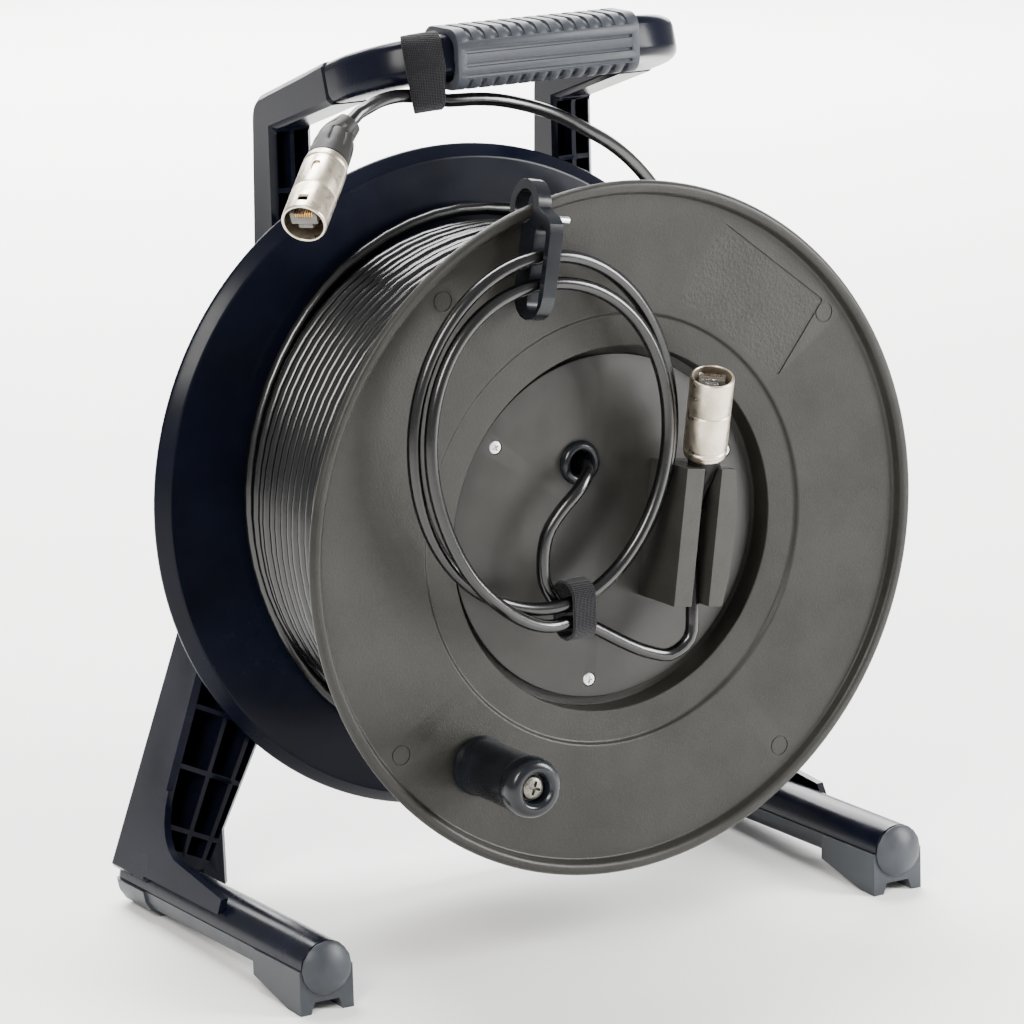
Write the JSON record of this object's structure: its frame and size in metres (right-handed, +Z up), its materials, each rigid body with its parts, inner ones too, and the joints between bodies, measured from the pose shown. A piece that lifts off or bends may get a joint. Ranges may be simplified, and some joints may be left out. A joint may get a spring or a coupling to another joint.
{
  "type": "network cable reel",
  "caption": "Freestanding plastic cable reel on a one-sided stand: crank-turned drum wound with network cable, a carrying handle, a connector holder and metal-shell plugs on both cable ends.",
  "frame": {"origin": "on the floor, under the middle of the reel and its stand without the free cable", "axes": "+Z up, -Y toward the user who faces the crank, +X to that user's right; the drum axis runs along +Y and dips to the rear with the stand's lean"},
  "size_m": [0.329, 0.2414, 0.4133],
  "materials": {
    "gloss_plastic": "glossy blue-black moulded plastic",
    "face_plastic": "grained warm dark-grey moulded plastic",
    "plate_plastic": "smooth satin dark-grey plastic",
    "holder_plastic": "satin dark-grey plastic",
    "foot_plastic": "satin blue-grey plastic",
    "grip_rubber": "dark grey ribbed rubber",
    "boot_rubber": "black rubber",
    "cable_jacket": "glossy black cable jacket",
    "textile": "black hook-and-loop textile",
    "steel": "bright zinc-plated steel",
    "nickel": "satin nickel on die-cast metal",
    "clear_plastic": "clear plastic plug over its contacts",
    "bush_plastic": "grey bearing plastic"
  },
  "bodies": {
    "stand": {"rear_frame": "gloss_plastic", "handle_bow": "gloss_plastic", "handle_grip": "grip_rubber", "foot_beam_left": "gloss_plastic", "foot_beam_right": "gloss_plastic", "foot_shoe_left": "foot_plastic", "foot_shoe_right": "foot_plastic", "foot_cap_left": "foot_plastic", "foot_cap_right": "foot_plastic", "axle": "steel", "axle_washer": "steel", "axle_nut_front": "steel", "axle_nut_rear": "steel", "handle_strap": "textile", "outer_lead": "cable_jacket", "outer_conn_shell": "nickel", "outer_conn_boot": "boot_rubber", "outer_conn_plug": "clear_plastic"},
    "drum": {"front_flange": "face_plastic", "rear_flange": "gloss_plastic", "drum_barrel": "gloss_plastic", "drum_hub": "gloss_plastic", "hub_bush_front": "bush_plastic", "hub_bush_rear": "bush_plastic", "connector_plate": "plate_plastic", "plate_screw_1": "steel", "plate_screw_2": "steel", "plate_screw_3": "steel", "cable_grommet": "plate_plastic", "connector_holder": "holder_plastic", "crank_pin": "steel", "crank_screw": "steel", "flange_clip": "gloss_plastic", "clip_pin": "steel", "winding_core": "cable_jacket", "winding_layer": "cable_jacket", "inner_lead": "cable_jacket", "lead_tie": "textile", "inner_conn_shell": "nickel", "inner_conn_boot": "boot_rubber", "inner_conn_plug": "clear_plastic"},
    "knob": {"crank_knob": "gloss_plastic"}
  },
  "joints": [
    {"name": "drum_spin", "type": "hinge", "parent": "stand", "child": "drum", "pos_m": [0, -0.00046, 0.1909], "axis": [0, 0.9991, -0.0418], "continuous": true},
    {"name": "knob_spin", "type": "hinge", "parent": "drum", "child": "knob", "pos_m": [-0.07388, -0.09434, 0.10019], "axis": [0, 0.9991, -0.0418], "continuous": true}
  ]
}
